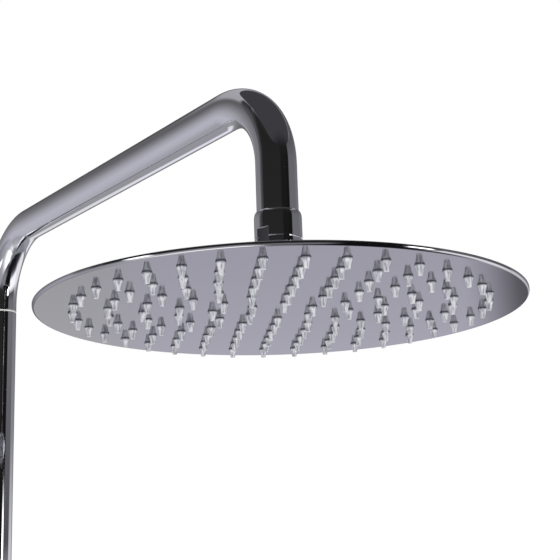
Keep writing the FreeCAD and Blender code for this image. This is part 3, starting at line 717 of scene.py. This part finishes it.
def makePlate(look):
    outer, edge = look["radius"], look["edge"]
    profile = [(outer - edge, faceLevel), (outer, faceLevel + edge), (outer, look["top"])]
    plate = turnPiece("perforated_plate", look["sides"], profile, dropAxis)
    pick(plate)
    bpy.ops.object.mode_set(mode="EDIT")
    bpy.ops.mesh.select_all(action="DESELECT")
    bpy.ops.mesh.select_non_manifold(extend=False)
    bpy.ops.mesh.edge_face_add()     # closes both faces of the plate
    leaveEdit("perforated_plate")
    deselectAll()
    bpy.ops.mesh.primitive_cylinder_add(vertices=look["holeSides"], radius=look["holeRadius"] * mm,
                                        depth=look["holeDrill"] * mm, location=(0, 0, 0))
    carve(plate, copyTo(nozzlePlaces(nozzleLook), newPiece("hole"), "holes"))
    smooth(plate, 30)
    return plate


cover = makeCover(coverLook)
finish(cover, "mirror_steel", coverSteel)
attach(cover, "head")
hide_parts("top_cover")
plate = makePlate(plateLook)
finish(plate, "mirror_steel")
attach(plate, "head")
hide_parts("face_plate")
print("head sheets made:", len(plate.data.polygons), "faces in the plate")
nozzles = makeNozzles(nozzleLook)
finish(nozzles, "silicone")
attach(nozzles, "head")
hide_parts("nozzle_mat")
print("nozzles made:", len(nozzles.data.polygons), "faces")


# the camera gives the photograph's view
cameraLook = {
    "place": (-0.366467, -0.832503, 0.692535),
    "heading": 53.0107,      # degrees from +X towards +Y
    "lift": 13.8936,         # how far it looks up
    "roll": -1.9523,
    "lens": 78.429,
    "sensor": 36,
    "clip": (0.01, 50),
}
cameraData = bpy.data.cameras.new("Camera")
cameraData.lens = cameraLook["lens"]
cameraData.sensor_width = cameraLook["sensor"]
cameraData.clip_start, cameraData.clip_end = cameraLook["clip"]
camera = bpy.data.objects.new("Camera", cameraData)
bpy.context.collection.objects.link(camera)
turned = Matrix.Identity(4)
for angle, axis in ((cameraLook["heading"] - 90, "Z"), (cameraLook["lift"] + 90, "X"),
                    (cameraLook["roll"], "Z")):
    turned = turned @ Matrix.Rotation(math.radians(angle), 4, axis)
camera.matrix_world = Matrix.Translation(Vector(cameraLook["place"])) @ turned
bpy.context.scene.camera = camera

floorLook = {"colour": "#ededee", "roughness": 0.9, "size": 6.0, "height": -0.0092}    # metres


def makeFloor(look):
    deselectAll()
    bpy.ops.mesh.primitive_plane_add(size=look["size"], location=(0, 0, look["height"]))
    floor = newPiece("floor")
    material, tree, shader = newMaterial("Floor paint")
    shader.inputs["Base Color"].default_value = toLinear(look["colour"])
    shader.inputs["Roughness"].default_value = look["roughness"]
    shader.inputs["Specular IOR Level"].default_value = 0
    clear = addNode(tree, "ShaderNodeBsdfTransparent")
    underside = addNode(tree, "ShaderNodeNewGeometry").outputs["Backfacing"]
    seen = addNode(tree, "ShaderNodeMixShader", inputs={
        0: underside, 1: shader.outputs["BSDF"], 2: clear.outputs["BSDF"]})
    tree.links.new(seen.outputs["Shader"], tree.nodes["Material Output"].inputs["Surface"])
    floor.data.materials.append(material)
    floor.visible_glossy = False     # the tent's own floor stands in for it in the metal


makeFloor(floorLook)


def glowInMirrors(piece, material, colour):
    # the piece glows in this colour but lights nothing, and only mirror rays see it
    tree = material.node_tree
    glow = addNode(tree, "ShaderNodeEmission", inputs={"Color": colour, "Strength": 1})
    tree.links.new(glow.outputs["Emission"], tree.nodes["Material Output"].inputs["Surface"])
    material.cycles.emission_sampling = "NONE"
    piece.data.materials.append(material)
    piece.visible_camera = False
    piece.visible_diffuse = False
    piece.visible_transmission = False
    piece.visible_shadow = False


# a glowing tent stands round the object, and only the metal sees it: its shades are painted reflections and
# highlights, and it lights nothing. It hangs in panels, each over the ones before it. turn: degrees to the
# left of the camera's line, soft: width of a panel's edge in degrees, shades: degrees above the horizon
# with the glow's shade there, and its gain where it glows brighter than white
tentLook = {
    "radius": 2.6,
    "segments": 240,
    "rings": 120,
    "panels": [
        {"turn": (97, 182), "soft": 3, "shades": [      # behind the camera, to the left
            (90, "#c4c4c8"), (54, "#b4b4b8"), (46, "#303030"), (36, "#282828"), (14, "#2b2b2b"),
            (-4, "#303030"), (-14, "#a4a4aa"), (-32, "#b4b4ba"), (-44, "#f4f4f6", 1.1),
            (-50, "#ffffff", 1.8), (-68, "#ffffff", 1.8), (-76, "#d8d8dc"), (-82, "#808086"),
            (-90, "#86878c")]},
        {"turn": (168, 245), "soft": 14, "shades": [    # behind the camera
            (90, "#c4c4c8"), (54, "#b4b4b8"), (46, "#303030"), (36, "#282828"), (14, "#2b2b2b"),
            (-8, "#303032"), (-22, "#8c8c90"), (-40, "#8c8c90"), (-62, "#4c4c50"), (-76, "#a0a0a6"),
            (-90, "#86878c")]},
        {"turn": (205, 254), "soft": 10, "shades": [    # behind the camera, to the right
            (90, "#c4c4c8"), (54, "#b4b4b8"), (46, "#262626"), (30, "#222222"), (14, "#1c1c1c"),
            (-20, "#161618"), (-66, "#18171e"), (-84, "#2a2a30"), (-90, "#86878c")]},
        {"turn": (-108, -45), "soft": 5, "shades": [    # right
            (90, "#c4c4c8"), (46, "#b4b4b8"), (36, "#606064"), (14, "#7c7c80"),
            (0, "#58585e"), (-10, "#f4f4f6", 1.4), (-28, "#f4f4f6", 1.4), (-36, "#9c9ca2"),
            (-46, "#3e3e44"), (-62, "#1c1c24"), (-80, "#1a1a20"), (-90, "#86878c")]},
        {"turn": (-45, -13), "soft": 7, "shades": [     # ahead, to the right
            (90, "#c4c4c8"), (46, "#b4b4b8"), (39, "#606064"), (33, "#606064"), (14, "#88888e"),
            (0, "#98989e"), (-7, "#7a7a7c"), (-18, "#7a7a7c"), (-24, "#c0c0c4"), (-36, "#90939a"),
            (-60, "#90939a"), (-90, "#86878c")]},
        {"turn": (-58, -20), "soft": 7, "shades": [     # a window where the two meet
            (90, "#c4c4c8"), (46, "#b4b4b8"), (39, "#606064"), (33, "#606064"), (14, "#88888e"),
            (6, "#98989e"), (-5, "#f8f8fa", 1.1), (-32, "#f8f8fa", 1.1), (-40, "#b0b0b6"),
            (-48, "#505056"), (-60, "#2c2c34"), (-80, "#1a1a20"), (-90, "#86878c")]},
        {"turn": (-13, 35), "soft": 4, "shades": [      # ahead, mirrored in the head's face
            (90, "#c4c4c8"), (46, "#b4b4b8"), (39, "#58585a"), (22, "#606062"),
            (8, "#7c7c7e"), (-2, "#9c9ca0"), (-7, "#f4f2fd", 1.05), (-17.5, "#f4f2fd", 1.05),
            (-21, "#a4a4a8"), (-35, "#a8a8ae"), (-48, "#8c8e94"), (-62, "#94979c"), (-90, "#86878c")]},
        {"turn": (9, 35), "soft": 7, "shades": [        # the same, its light dimmer and less blue
            (90, "#c4c4c8"), (46, "#b4b4b8"), (39, "#58585a"), (22, "#606062"),
            (8, "#7c7c7e"), (-2, "#9c9ca0"), (-7, "#f4f4f4"), (-17.5, "#f4f4f4"),
            (-21, "#a4a4a8"), (-35, "#a8a8ae"), (-48, "#8c8e94"), (-62, "#94979c"), (-90, "#86878c")]},
        {"turn": (17, 35), "soft": 4, "shades": [       # the same without the light, past the face
            (90, "#c4c4c8"), (46, "#b4b4b8"), (39, "#58585a"), (22, "#606062"),
            (8, "#7c7c7e"), (-2, "#9c9ca0"), (-12, "#acacb2"), (-21, "#a4a4a8"), (-35, "#a8a8ae"),
            (-48, "#8c8e94"), (-62, "#94979c"), (-90, "#86878c")]},
        {"turn": (35, 97), "soft": 8, "shades": [       # left, mirrored in the arm
            (90, "#c4c4c8"), (46, "#b4b4b8"), (38, "#6c6c6f"), (31, "#6c6c6f"), (20, "#8a8a8e"),
            (13, "#9c9ca0"), (6, "#b0afb7"), (-5, "#c1c0ca"), (-13, "#ccccd6"), (-24, "#c8c7d1"),
            (-35, "#b0afb6"), (-50, "#c0c0c6"), (-60, "#dcdce0"), (-68, "#94949a"),
            (-90, "#86878c")]},
        {"turn": (80, 97), "soft": 5, "shades": [       # its darker end, beside the black behind
            (90, "#c4c4c8"), (60, "#c4c4c8"), (48, "#323232"), (34, "#5c5c5e"), (16, "#5c5c5e"),
            (2, "#8c8c90"), (-10, "#a2a1aa"), (-20, "#b8b7c0"), (-42, "#c4c4ca"),
            (-52, "#f4f4f6", 1.1), (-62, "#f4f4f6", 1.1), (-72, "#a0a0a6"), (-90, "#86878c")]},
        {"turn": (112, 124), "soft": 3, "shades": [     # a narrow window of painted light, for the highlight streak on each nozzle
            (90, "#c4c4c8"), (54, "#b4b4b8"), (46, "#303030"), (36, "#282828"), (14, "#2b2b2b"),
            (4, "#303030"), (0, "#ffffff", 2.6), (-18, "#ffffff", 2.6), (-32, "#b4b4ba"),
            (-44, "#f4f4f6", 1.1), (-50, "#ffffff", 1.8), (-68, "#ffffff", 1.8), (-76, "#d8d8dc"),
            (-82, "#808086"), (-90, "#86878c")]},
        {"turn": (236, 248), "soft": 3, "shades": [     # and its twin on the right
            (90, "#c4c4c8"), (58, "#c4c4c8"), (46, "#262626"), (30, "#222222"), (14, "#141414"),
            (4, "#161618"), (0, "#ffffff", 4), (-14, "#ffffff", 4), (-18, "#161618"),
            (-66, "#18171e"), (-84, "#2a2a30"), (-90, "#86878c")]},
        {"turn": (93, 97), "soft": 5, "shades": [       # a dark edge, mirrored in the collar's flat
            (90, "#c4c4c8"), (60, "#c4c4c8"), (48, "#282828"), (0, "#282828"), (-12, "#a2a1aa"),
            (-42, "#c4c4ca"), (-52, "#f4f4f6", 1.1), (-62, "#f4f4f6", 1.1), (-72, "#a0a0a6"),
            (-90, "#86878c")]},
    ],
}


def paintedReflectionShade(shades, lift):
    for upper, lower in zip(shades, shades[1:]):
        if lift >= lower[0]:
            share = (upper[0] - lift) / (upper[0] - lower[0])
            ends = []
            for stop in (upper, lower):
                gain = stop[2] if len(stop) > 2 else 1
                ends.append(Vector(toLinear(stop[1])[:3]) * gain)
            return ends[0].lerp(ends[1], max(0, share))
    return Vector(toLinear(shades[-1][1])[:3])


def makeTent(look):
    deselectAll()
    bpy.ops.mesh.primitive_uv_sphere_add(segments=look["segments"], ring_count=look["rings"],
                                         radius=look["radius"], location=headCentre)
    tent = newPiece("tent")
    # painted reflections: each point of the tent glows in the shade of the panels over it
    paint = tent.data.color_attributes.new("cloth", "FLOAT_COLOR", "POINT")
    for vertex, dab in zip(tent.data.vertices, paint.data):
        turn = math.degrees(math.atan2(vertex.co.y, vertex.co.x)) - cameraLook["heading"]
        lift = math.degrees(math.asin(max(-1, min(1, vertex.co.z / look["radius"]))))
        shade = Vector((0, 0, 0))
        for panel in look["panels"]:
            middle, half = sum(panel["turn"]) / 2, (panel["turn"][1] - panel["turn"][0]) / 2
            inside = half - abs((turn - middle + 180) % 360 - 180)
            share = max(0, min(1, inside / panel["soft"] + 0.5))
            share = share * share * (3 - 2 * share)
            if share > 0:
                shade = shade.lerp(paintedReflectionShade(panel["shades"], lift), share)
        dab.color = (*shade, 1)
    settle(tent)
    material, tree, shader = newMaterial("Tent of painted reflections")
    tree.nodes.remove(shader)
    cloth = addNode(tree, "ShaderNodeVertexColor", {"layer_name": "cloth"})
    glowInMirrors(tent, material, cloth.outputs["Color"])


makeTent(tentLook)

# a dark card hangs close above the arm's end; only the metal sees it, and it glows as a painted dark
# reflection on the bend in place of the ceiling's light
cardLook = {
    "sides": 48,
    "radius": 0.1,               # metres, as all of the card
    "place": (0, -0.397, 1.0),
    "shade": "#454548",
    "farShade": "#272728",       # its painted reflection darkens towards its far edge
    "fade": (-0.49, -0.405),     # between these places along Y
}


def makeCard(look):
    deselectAll()
    bpy.ops.mesh.primitive_circle_add(vertices=look["sides"], radius=look["radius"], fill_type="NGON",
                                      location=look["place"])
    card = newPiece("dark_card")
    settle(card)
    material, tree, shader = newMaterial("Dark card for a painted reflection")
    tree.nodes.remove(shader)
    # painted reflection: the card's glow fades from its shade to its far shade along Y
    place = addNode(tree, "ShaderNodeTexCoord").outputs["Object"]
    along = addNode(tree, "ShaderNodeSeparateXYZ", inputs={"Vector": place})
    share = addNode(tree, "ShaderNodeMapRange", {"interpolation_type": "SMOOTHSTEP"}, {
        "Value": along.outputs["Y"], "From Min": look["fade"][0], "From Max": look["fade"][1]})
    shade = addNode(tree, "ShaderNodeMix", {"data_type": "RGBA"}, {
        0: share.outputs["Result"], 6: toLinear(look["farShade"]), 7: toLinear(look["shade"])})
    glowInMirrors(card, material, shade.outputs[2])


makeCard(cardLook)

# places and sizes in metres, spread in degrees. The lamp from below lights the nozzles
lamps = {
    "key": {"place": (-1.6, -1.6, 2.6), "size": 1.2, "power": 32, "spread": 180},
    "fill": {"place": (1.8, -1.2, 2.2), "size": 1.4, "power": 20, "spread": 180},
    "under": {"place": (-0.5, -1.3, 0.3), "size": 0.7, "power": 1.05, "spread": 70},
}
for name, look in lamps.items():
    lampData = bpy.data.lights.new(name, "AREA")
    lampData.shape = "SQUARE"
    lampData.size = look["size"]
    lampData.energy = look["power"]
    lampData.spread = math.radians(look["spread"])
    lamp = bpy.data.objects.new(name, lampData)
    bpy.context.collection.objects.link(lamp)
    lamp.location = look["place"]
    lamp.visible_glossy = False      # the metal sees the tent in place of the lamps
    aim = headCentre - lamp.location
    lamp.rotation_euler = aim.to_track_quat("-Z", "Y").to_euler()

# a white room: it is seen fully white, and this share of it lights the object
roomLight = 0.55
world = bpy.data.worlds.new("Studio")
bpy.context.scene.world = world
world.use_nodes = True
tree = world.node_tree
backdrop = tree.nodes["Background"]
backdrop.inputs["Color"].default_value = (1, 1, 1, 1)
backdrop.inputs["Strength"].default_value = roomLight
seenWhite = addNode(tree, "ShaderNodeBackground", inputs={"Color": (1, 1, 1, 1), "Strength": 1})
path = addNode(tree, "ShaderNodeLightPath")
either = addNode(tree, "ShaderNodeMath", {"operation": "MAXIMUM"}, {
    0: path.outputs["Is Camera Ray"], 1: path.outputs["Is Glossy Ray"]})
anySeen = addNode(tree, "ShaderNodeMath", {"operation": "MAXIMUM"}, {
    0: either.outputs["Value"], 1: path.outputs["Is Transmission Ray"]})
mixed = addNode(tree, "ShaderNodeMixShader", inputs={
    0: anySeen.outputs["Value"], 1: backdrop.outputs["Background"], 2: seenWhite.outputs["Background"]})
tree.links.new(mixed.outputs["Shader"], tree.nodes["World Output"].inputs["Surface"])

bpy.context.scene.view_settings.view_transform = "Standard"
print("studio set")
